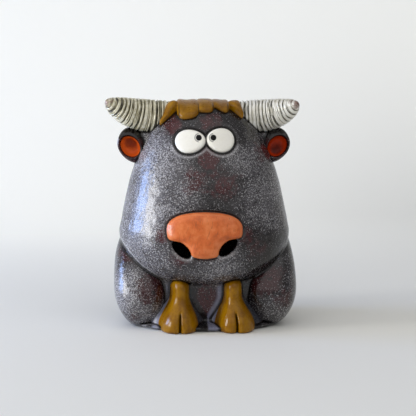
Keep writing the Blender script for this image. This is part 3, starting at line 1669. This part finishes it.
@dataclass(frozen=True)
class LegPair:
    """Two forelegs with cloven hooves and grey sides."""

    x: float = 13.6
    half_width: float = 5.1
    top: float = 26.6
    shoulder: float = 4.5
    front: float = 34.5
    root: float = 20.0
    hoof_half_width: float = 10.7
    hoof_front: float = 40.2
    ankle: float = 18.5
    sole: float = 3.0
    cleft_height: float = 11.5
    cleft_depth: float = 2.6
    web: float = 2.1
    web_spread: float = 2.0
    plan: float = 2.4
    crack_width: float = 0.55
    dent_width: float = 1.9
    dent_depth: float = 0.9
    splay: tuple[float, float] = (0.5, 1.4)

    def flare(self, height: Array) -> Array:
        """How far the leg has widened into the hoof at a height."""
        return smooth(height, self.ankle, self.sole)

    def bevel(self, height: Array) -> Array:
        """The rounding of the sole's edge at a height."""
        return 1 - 0.05 * np.maximum(0.0, 1 - height / 1.5) ** 2

    def rounding(self, height: Array) -> Array:
        """The rounding of the shoulder: 1 below it, less towards the leg's top."""
        over = np.maximum(0.0, height - self.top + self.shoulder) / self.shoulder
        return Profile(2.0, 2.0).scale(over)

    def centre_at(self, side: Side, height: Array) -> Array:
        """Where a leg's middle lies across the front at a height."""
        return side.value * (self.x + side.pick(self.splay) * self.flare(height))

    def half_at(self, height: Array) -> Array:
        """The leg's half width at a height."""
        shaft = self.half_width * (0.35 + 0.65 * self.rounding(height))
        hoof = (self.hoof_half_width - self.half_width) * self.flare(height)
        return (shaft + hoof) * self.bevel(height)

    def reach_at(self, height: Array) -> Array:
        """How far the leg reaches forward of its root at a height."""
        shaft = (self.front - self.root) * (0.7 + 0.3 * self.rounding(height))
        hoof = (self.hoof_front - self.front) * self.flare(height)
        return (shaft + hoof) * self.bevel(height)

    def distance(self, points: Array) -> Array:
        """Roughly how far beside either leg each place lies."""
        x, _, z = points.T
        height = np.clip(z, 0.0, self.top)
        beside = np.abs(np.abs(x) - self.x) - self.half_at(height) * 1.15
        above = np.maximum(0.0, z - self.top)
        return np.hypot(np.maximum(beside, 0.0), above) + np.minimum(beside, 0.0)

    def leg(self, side: Side) -> Piece:
        """Builds one leg."""
        turns = full_turn(192)
        across, along = squared(np.cos(turns), self.plan), squared(np.sin(turns), self.plan)
        loops = []
        for height in np.concatenate([np.linspace(0, 14, 46), np.linspace(14.3, self.top, 38)]):
            level = np.full(len(turns), height)
            web = (self.web + self.web_spread * self.flare(level)) * smooth(along, -0.5, -0.02)
            x = across * (self.half_at(level) + web)
            y = np.where(along < 0, along * self.reach_at(level), along * 2.0) - self.root
            tall = max(0.0, 1 - (height / self.cleft_height) ** 2)
            dent = bell(x, 0.0, self.dent_width) * self.dent_depth
            crack = bell(x, 0.0, self.crack_width) * self.cleft_depth + dent
            y = y + np.where(y < -self.root - 4, crack * tall, 0.0)
            loops.append(rows(self.centre_at(side, level) + x, y, level))
        middle = (side.value * self.x, -self.root - 6)
        ends = [np.array([*middle, height]) for height in (0.0, self.top)]
        clay = trimmed(Clay(f"foreleg_{side.label}_hoofed", stacked(np.array(loops), *ends)))
        x, y, z = clay.points().T
        level = np.clip(z, 0.0, self.top)
        centre = self.centre_at(side, level)
        forward = (-self.root - y) / self.reach_at(level)
        crack = bell(x - centre, 0.0, 0.6) * smooth(self.cleft_height - level, 0.3, 2.5)
        wide = np.abs(x - centre) - self.half_at(level)
        turned = smooth(x - centre, -1.0, 1.0)
        flank = smooth(forward - turned * 0.2, 0.42, 0.3)
        clay.marked("side", np.maximum(flank, smooth(wide, 0.1, 0.5)))
        clay.marked("lit", bell(wide, self.web, 0.8) * (x < centre))
        clay.marked("turned", turned)
        clay.marked("crease", np.maximum(crack, smooth(level, 0.7, 0.0) * 0.7))
        return Piece(clay, OCHRE, (f"foreleg_{side.label}",))

    def build(self) -> list[Piece]:
        """Builds both legs."""
        return both(self.leg)


@dataclass(frozen=True)
class Patch:
    """A round place of the front view where the glaze differs, and how strongly."""

    x: float
    z: float
    radius: float
    strength: float = 1.0


def patch_field(points: Array, patches: tuple[Patch, ...]) -> Array:
    """How strongly the patches show at each place of the front, with a quiet swell behind."""
    x, y, z = points.T
    total = np.zeros(len(points))
    for patch in patches:
        away = np.hypot(x - patch.x, z - patch.z)
        total = np.maximum(total, patch.strength * bell(away, 0.0, patch.radius))
    return np.where(y < 8, total, 0.45 + 0.3 * wobble(points, 40.0, 9))


def mottle(
    clay: Clay, patches: tuple[Patch, ...], dense: tuple[Patch, ...], bare: tuple[Patch, ...]
) -> None:
    """Marks where maroon slip shows, and where the pale speckle is dense or missing."""
    points = clay.points()
    clay.marked("maroon", patch_field(points, patches))
    clay.marked("speckle", patch_field(points, dense) * 0.5 - patch_field(points, bare) * 0.6)


@dataclass(frozen=True)
class BodyShell:
    """Head and torso, one hollow cast piece open below, with its foot."""

    grain: float = 0.9
    fillet: float = 0.35
    haunch_bed: float = 2.6
    socket_depth: float = 1.05
    socket_rim: float = 1.25
    lip_height: float = 0.12
    nose_bed: float = 0.65
    nostril_rim: float = 1.1
    seam_depth: float = 1.6
    swell: float = 0.24
    ripple: float = 0.07
    notch_width: float = 14.0
    notch_height: float = 12.0
    patches: tuple[Patch, ...] = (
        Patch(0.5, 88.5, 6.0, 1.4),
        Patch(-5.0, 78.0, 10.0, 0.8),
        Patch(8.0, 76.0, 12.0, 0.75),
        Patch(-17.0, 105.0, 6.0, 1.0),
        Patch(2.0, 107.0, 9.0, 0.8),
        Patch(-22.5, 50.0, 6.0, 0.9),
        Patch(-15.0, 37.5, 6.0, 0.7),
        Patch(20.0, 50.0, 7.0, 0.8),
        Patch(25.0, 42.0, 9.0, 0.6),
        Patch(0.0, 14.0, 12.0, 1.0),
        Patch(30.0, 92.0, 9.0, 0.7),
        Patch(-28.0, 92.0, 7.0, 0.3),
    )
    dense: tuple[Patch, ...] = (
        Patch(28.0, 66.0, 13.0, 0.9),
        Patch(-14.0, 74.0, 10.0, 0.8),
        Patch(-36.0, 48.0, 13.0, 1.5),
        Patch(-33.0, 66.0, 15.0, 1.6),
        Patch(-28.0, 86.0, 13.0, 2.4),
        Patch(4.0, 32.0, 11.0, 0.7),
        Patch(-20.0, 92.0, 9.0, 1.0),
        Patch(20.0, 86.0, 9.0, 0.6),
    )
    bare: tuple[Patch, ...] = (
        Patch(31.0, 38.0, 12.0, 1.4),
        Patch(22.0, 48.0, 8.0, 1.0),
        Patch(8.0, 72.0, 12.0, 0.8),
        Patch(0.0, 88.0, 7.0, 0.8),
        Patch(0.0, 14.0, 12.0, 0.8),
        Patch(0.0, 107.0, 12.0, 1.2),
        Patch(-14.0, 105.0, 7.0, 1.0),
        Patch(17.0, 104.0, 8.0, 1.0),
        Patch(-25.0, 47.0, 5.0, 0.8),
    )

    def notch(self) -> Shape:
        """The arched air notch in the foot, at the back."""
        radius = self.notch_width / 2
        turns = np.linspace(0, math.pi, 25)
        height = self.notch_height - radius + radius * np.sin(turns)
        arch = rows(radius * np.cos(turns), height)
        outline = np.vstack([[radius, -4.0], arch, [-radius, -4.0]])
        return prism(outline, (0.0, 2.0), 20.0, 80.0)

    def ear_root(self, side: Side) -> Egg:
        """The swelling that joins an ear to the head below the horn."""
        return Egg((side.value * 31.0, -2.5, 98.0), 5.2, 5.2, 5.0, 5.0, 6.0, 6.0)

    def relief(self, points: Array, normals: Array, nose: NosePad) -> Array:
        """Where the skin lies once sockets, grooves and rims are pressed into it.

        Args:
            points: The plain skin.
            normals: Its outward normals.
            nose: The pad that is bedded in the face.

        Returns:
            The pressed skin.
        """
        flat = points[:, [0, 2]]
        facing = smooth(-normals[:, 1], 0.1, 0.4) * (points[:, 1] < -8)
        eyes = nearest(EYES.values(), flat)
        sockets = smooth(eyes, self.socket_rim + 0.25, self.socket_rim - 0.55) * self.socket_depth
        lip = bell(eyes - self.socket_rim, 1.1, 0.8) * self.lip_height
        around = nose.distance(flat)
        bed = bell(around, 0.35, 0.75) * self.nose_bed
        nostrils = nearest(NOSTRILS, flat)
        rims = smooth(nostrils, 1.5, -0.4) * self.nostril_rim
        swell = self.swell * wobble(points, 30.0, 11) + self.ripple * wobble(points, 9.0, 12)
        carried = np.min([form.distance(points) for form in (HEAD, TORSO, FOOT)], axis=0)
        sunk = smooth(carried, 0.9, 2.4) * (points[:, 2] < 60) * self.seam_depth
        shift = swell - sunk + facing * (lip - sockets - np.maximum(bed, rims))
        return points + normals * shift[:, None]

    def build(self, nose: NosePad, legs: LegPair) -> Piece:
        """Builds the shell.

        Args:
            nose: The pad on the face, which leaves a groove.
            legs: The forelegs, beside which the glaze runs grey.

        Returns:
            The shell.
        """
        clay = Clay("bull_body", HEAD.shape(160, 70))
        clay.with_parts(TORSO.shape(160, 70), FOOT.shape(160, 10))
        haunches = HAUNCHES.values()
        clay.with_parts(*[haunch.grown(-self.fillet).shape(120, 50) for haunch in haunches])
        clay.with_parts(*[self.ear_root(side).shape(48, 16) for side in Side])
        clay.remeshed(self.grain, 6)

        def features(places: Array) -> Array:
            """Whether a place is close to the eyes or the nose."""
            flat = places[:, [0, 2]]
            eyes = nearest(EYES.values(), flat)
            near_nose = np.abs(nose.distance(flat)) < 2.4
            return (places[:, 1] < -12) & (((eyes > -2.2) & (eyes < 3.0)) | near_nose)

        clay.refined(features, 2)
        clay.move_to(self.relief(clay.points(), clay.normals(), nose))
        clay.cut(*inner_skins(WALL, 64, 24), table_block(), self.notch())
        clay.cut(*[haunch.grown(-self.haunch_bed).shape(64, 24) for haunch in haunches])
        clay.cut(*[nostril.plug(-70.0, -20.0) for nostril in NOSTRILS])
        points = clay.points()
        x, y, z = points.T
        flat = points[:, [0, 2]]
        eyes, nostrils = nearest(EYES.values(), flat), nearest(NOSTRILS, flat)
        front = y < -14
        low = front * smooth(z, 25.0, 21.0)
        under_eyes = bell(eyes, 2.3, 0.55) * smooth(z, 97.0, 94.0)
        under_nostrils = bell(nostrils, 0.7, 0.7) * smooth(z, 43.0, 41.0)
        clay.marked("pale", front * np.maximum(under_eyes, under_nostrils))
        away = legs.distance(points)
        leg_x = np.sign(x) * legs.x
        dark = low * smooth(away, 3.4, 2.0) * smooth(x - leg_x, 2.0, 5.0)
        sockets = front * bell(np.maximum(eyes, 0.0), 0.0, 1.5)
        clay.marked("crease", np.maximum(sockets, dark * 0.6))
        mottle(clay, self.patches, self.dense, self.bare)
        lit = smooth(leg_x - x, -2.0, 2.0)
        clay.marked("lilac", low * smooth(away, 3.0, 1.4) * lit)
        return Piece(clay, BODY_GLAZE, ("body_shell",))


@dataclass(frozen=True)
class HaunchPair:
    """The folded thighs at both sides."""

    unevenness: float = 0.22
    patches: tuple[Patch, ...] = (
        Patch(-28.0, 22.0, 10.0, 1.2),
        Patch(-41.0, 39.0, 7.0, 1.0),
        Patch(-38.0, 6.0, 7.0, 0.6),
        Patch(30.0, 28.0, 13.0, 1.0),
        Patch(40.0, 16.0, 8.0, 0.8),
    )
    dense: tuple[Patch, ...] = (
        Patch(-42.0, 18.0, 11.0, 2.8),
        Patch(-31.0, 6.0, 9.0, 1.2),
        Patch(37.0, 10.0, 8.0, 0.6),
    )
    bare: tuple[Patch, ...] = (Patch(-28.0, 21.0, 9.0, 1.1), Patch(28.0, 26.0, 14.0, 0.9))

    def haunch(self, side: Side) -> Piece:
        """Builds one haunch."""
        form = replace(HAUNCHES[side], down=23.0, under=Profile(2.0, 2.0))
        clay = Clay(f"haunch_{side.label}_thigh", form.shape(150, 64))
        clay.pushed(self.unevenness * wobble(clay.points(), 22.0, 21 + side.value))
        trimmed(clay).cut(table_block())
        mottle(clay, self.patches, self.dense, self.bare)
        clay.marked("crease", smooth(clay.points()[:, 2], 1.3, 0.3) * 0.8)
        return Piece(clay, FLANK_GLAZE, (f"haunch_{side.label}",))

    def build(self) -> list[Piece]:
        """Builds both haunches."""
        return both(self.haunch)


@dataclass(frozen=True)
class Tail:
    """The tail laid against the back, with a tuft."""

    radius: float = 2.3
    sweep: float = 22.0
    root_z: float = 44.0
    end_z: float = 22.0
    tuft_length: float = 9.0
    tuft_radius: float = 4.0
    tuft_back: float = 2.5
    strands: int = 9
    strand_depth: float = 0.22

    def on_back(self, x: float, z: float, proud: float) -> Place:
        """A place on the torso's back."""
        above = z > TORSO.at[2]
        profile, reach = (TORSO.over, TORSO.up) if above else (TORSO.under, TORSO.down)
        scale = float(profile.scale(np.array((z - TORSO.at[2]) / reach)))
        across = abs(x / (TORSO.left * scale))
        y = TORSO.back * scale * (1 - across**TORSO.plan) ** (1 / TORSO.plan)
        return x, y + proud, z

    def rope(self) -> Piece:
        """Builds the tail itself."""
        corners = (
            self.on_back(0.0, self.root_z, -2 * self.radius),
            self.on_back(self.sweep / 4, self.root_z + 2, 1.85 * self.radius),
            self.on_back(self.sweep, self.root_z, 0.95 * self.radius),
            self.on_back(self.sweep, self.end_z, 0.5),
        )
        path = bezier(*corners, count=90)
        ahead = np.gradient(path, axis=0)
        ahead /= np.linalg.norm(ahead, axis=1)[:, None]
        across = np.cross(ahead, [1.0, 0.0, 0.0])
        across /= np.linalg.norm(across, axis=1)[:, None]
        beside = np.cross(ahead, across)
        turns = full_turn(40)
        shares = np.linspace(0, 1, len(path))
        radii = self.radius * (1 + 0.05 * np.sin(shares * 40))
        cosines, sines = (part(turns)[None, :, None] for part in (np.cos, np.sin))
        hoops = across[:, None] * cosines + beside[:, None] * sines
        loops = path[:, None] + radii[:, None, None] * hoops
        clay = trimmed(Clay("tail_rope", stacked(loops, path[0], path[-1])))
        clay.marked("maroon", 0.4 + 0.4 * wobble(clay.points(), 12.0, 31))
        return Piece(clay, BODY_GLAZE, ("tail",))

    def tuft(self) -> Piece:
        """Builds the tuft."""
        x, y, z = self.on_back(self.sweep, self.end_z - self.tuft_length / 3, 0.5)
        wide, long = self.tuft_radius, self.tuft_length
        form = Egg((x, y, z), wide, wide, wide, self.tuft_back, long / 3, long)
        clay = Clay("tail_tuft_brush", form.shape(96, 40))
        points = clay.points()
        turns = np.arctan2(points[:, 0] - x, points[:, 1] - y)
        share = smooth(points[:, 2], z + 3.0, z - 4.0)
        clay.pushed(self.strand_depth * np.cos(turns * self.strands) * share)
        return Piece(trimmed(clay), OCHRE, ("tail_tuft",))

    def build(self) -> list[Piece]:
        """Builds the tail and its tuft."""
        return [self.rope(), self.tuft()]


def cone_ring(radius: float, height: float, count: int) -> Array:
    """A level circle round the cone's axis."""
    turns = full_turn(count)
    return rows(radius * np.cos(turns), PEDESTAL_Y + radius * np.sin(turns), height)


@dataclass(frozen=True)
class Dish:
    """The loose dish that fills the opening under the figure."""

    height: float = 7.0
    floor: float = 2.6
    wall: float = 2.6
    pedestal_radius: float = 8.0
    pedestal_rise: float = 2.0
    plan: float = 2.2

    def loop(self, inset: float, height: float, count: int = 160) -> Array:
        """One level loop of the dish, set in from its widest outline."""
        low, high = (np.array(corner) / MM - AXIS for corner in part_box("burner_dish"))
        turns = full_turn(count)
        across = squared(np.cos(turns), self.plan) * (high[0] - inset)
        along = squared(np.sin(turns), self.plan)
        y = np.where(along < 0, along * (-low[1] - inset), along * (high[1] - inset))
        return rows(across, y, height)

    def build(self) -> list[Piece]:
        """Builds the dish."""
        rim, floor, wall, radius = self.height, self.floor, self.wall, self.pedestal_radius
        foot = [(0.9, 0.0), (0.2, 0.35), (0.0, 1.2), (0.0, rim - 1.6)]
        outer = eased([*foot, (0.35, rim - 0.35), (1.3, rim), (2.2, rim - 0.4)], 26)
        bottom = [(wall + 0.5, floor + 0.35), (wall + 1.8, floor)]
        inner = eased([(wall - 0.1, rim - 1.1), (wall + 0.05, floor + 1.4), *bottom], 14)
        loops = [self.loop(inset, height) for inset, height in np.vstack([outer, inner])]
        top = floor + self.pedestal_rise
        slope = [(radius + 2.5, floor), (radius + 1.0, floor + 0.3), (radius + 0.2, top - 0.5)]
        for reach, height in (*slope, (radius - 0.4, top), (radius / 4, top)):
            loops.append(cone_ring(reach, height, 160))
        ends = [np.array([0.0, PEDESTAL_Y, height]) for height in (0.0, top)]
        clay = Clay("dish_tray", stacked(np.array(loops), *ends))
        x, y, z = clay.points().T
        clay.marked("smoke", smooth(np.hypot(x, y - PEDESTAL_Y), 22.0, 5.0) * (z > 1.5))
        return [Piece(clay, DISH_CLAY, ("burner_dish",), Body.DISH)]


@dataclass(frozen=True)
class Cone:
    """The incense cone on the dish's pedestal."""

    radius: float = 6.0
    tip: float = 1.2
    height: float = 25.0
    waist: float = 3.6
    seat: float = 4.9
    charred: float = 4.5

    def build(self) -> list[Piece]:
        """Builds the cone."""
        radius, tip, tall = self.radius, self.tip, self.height
        knots = [(radius - 0.5, 0.0), (radius, 0.5), (radius - 0.15, 1.2), (self.waist, tall / 2)]
        knots += [(tip + 0.15, tall - 1.0), (tip * 0.8, tall - 0.25), (0.5, tall)]
        loops = [cone_ring(reach, self.seat + level, 72) for reach, level in eased(knots, 60)]
        ends = [np.array([0.0, PEDESTAL_Y, self.seat + level]) for level in (0.0, tall)]
        clay = Clay("incense_cone_pressed", stacked(np.array(loops), *ends))
        points = clay.points()
        top = self.seat + tall
        inside = (points[:, 2] > self.seat + 0.3) & (points[:, 2] < top - 0.5)
        clay.pushed(-(np.abs(wobble(points, 2.2, 41)) * 0.12 * inside))
        clay.marked("char", smooth(points[:, 2], top - self.charred, top))
        return [Piece(clay, CONE_POWDER, ("incense_cone",), Body.CONE)]


# Studio


@dataclass(frozen=True)
class Studio:
    """A pale table and wall, soft lights and the camera."""

    target: Place = (3.51, 0.38, 60.5)
    azimuth: float = -3.0
    elevation: float = 5.5
    distance: float = 600.0
    lens: float = 96.6
    lit_point: Place = (0.0, 0.0, 60.0)
    room: float = 0.42
    pale: Colour = tone(228, 227, 222)
    grain: Colour = tone(224, 223, 218)
    glow: Colour = (0.27, 0.27, 0.25)
    air: Colour = tone(240, 241, 243)

    def camera(self) -> None:
        """Sets the camera at the photograph's angle."""
        a, e = math.radians(self.azimuth), math.radians(self.elevation)
        back = Vector((math.sin(a) * math.cos(e), -math.cos(a) * math.cos(e), math.sin(e)))
        data = bpy.data.cameras.new("camera")
        data.lens = self.lens
        data.clip_start, data.clip_end = 0.05, 20.0
        camera = placed("camera", data)
        aimed(camera, Vector(self.target) + back * self.distance, -back, "-Z")
        bpy.context.scene.camera = camera

    def backdrop(self) -> None:
        """Builds the table that curves up into a wall."""
        front, back, bend, top, half_width, under = -2500.0, 500.0, 700.0, 2600.0, 3000.0, 0.0001
        turns = np.linspace(0.05, math.pi / 2, 24)
        curve = [(back + bend * math.sin(t), bend - bend * math.cos(t)) for t in turns]
        profile = [(front, 0.0), (back, 0.0), *curve, (back + bend, top)]
        sides = (-half_width, half_width)
        points = [(x * MM, y * MM, z * MM - under) for y, z in profile for x in sides]
        faces = [(2 * i, 2 * i + 1, 2 * i + 3, 2 * i + 2) for i in range(len(profile) - 1)]
        mesh = bpy.data.meshes.new("backdrop")
        mesh.from_pydata(points, [], faces)
        mesh.shade_smooth()
        sheet = placed("backdrop", mesh)
        paint = Paint("pale paper")
        colour = paint.blend(paint.noise(400, 2) * 0.3, self.pale, self.grain)
        parts = paint.node("ShaderNodeSeparateXYZ", None, {0: paint.place})
        across, deep = Term(paint, parts.outputs[0]), Term(paint, parts.outputs[1])
        seen = paint.take("ShaderNodeLightPath", output="Is Camera Ray")
        dim = across.step(-120.0, 320.0) * (1 - deep.step(500.0, 1150.0)) * 0.75
        share = deep.step(60.0, 520.0) * seen * (1 - dim)
        glow = paint.blend(share, (0.0, 0.0, 0.0), self.glow)
        matt = {"Base Color": colour, "Roughness": 0.9, "Specular IOR Level": 0.2}
        lit = {"Emission Color": glow, "Emission Strength": 1.0}
        mesh.materials.append(paint.finish({**matt, **lit}))

    def light(
        self,
        name: str,
        at: Place,
        size: tuple[float, float],
        watts: float,
        colour: Colour = (1.0, 1.0, 1.0),
    ) -> None:
        """Hangs one soft rectangular light that faces the burner.

        Args:
            name: The light's name.
            at: Where it hangs, in millimetres.
            size: Its width and height in millimetres.
            watts: Its power.
            colour: Its colour.
        """
        data = bpy.data.lights.new(name, "AREA")
        data.color = colour
        data.shape = "RECTANGLE"
        data.size, data.size_y = size[0] * MM, size[1] * MM
        data.energy = watts
        aimed(placed(name, data), Vector(at), Vector(at) - Vector(self.lit_point), "Z")

    def build(self) -> None:
        """Builds the whole studio."""
        scene = bpy.context.scene
        scene.view_settings.view_transform = "Standard"
        world = bpy.data.worlds.new("room")
        world.use_nodes = True
        graph = Graph(world.node_tree)
        air = {"Color": self.air, "Strength": self.room}
        sky = graph.take("ShaderNodeBackground", None, air)
        graph.node("ShaderNodeOutputWorld", None, {"Surface": sky})
        scene.world = world
        self.backdrop()
        self.light("sky window", (-1030.0, 170.0, 250.0), (360.0, 380.0), 7.6, tone(165, 195, 255))
        self.light("window", (-1000.0, -250.0, 200.0), (260.0, 460.0), 6.8)
        self.light("ceiling", (-150.0, -800.0, 1250.0), (3400.0, 2200.0), 15.8)
        self.camera()


def main() -> None:
    """Builds the burner piece by piece and sets up the studio."""
    logging.basicConfig(level=logging.INFO, format="%(name)s: %(message)s")
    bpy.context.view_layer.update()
    Studio().build()
    nose, legs = NosePad(), LegPair()
    shell = BodyShell().build(nose, legs)
    reliefs: list[Piece] = []
    for group in (nose, EyePair(), HornPair(), EarPair(), Forelock(), legs, HaunchPair(), Tail()):
        reliefs += group.build()
    pool_glaze(shell, reliefs)
    for piece in (shell, *reliefs, *Dish().build(), *Cone().build()):
        piece.deliver()


if __name__ == "__main__":
    main()
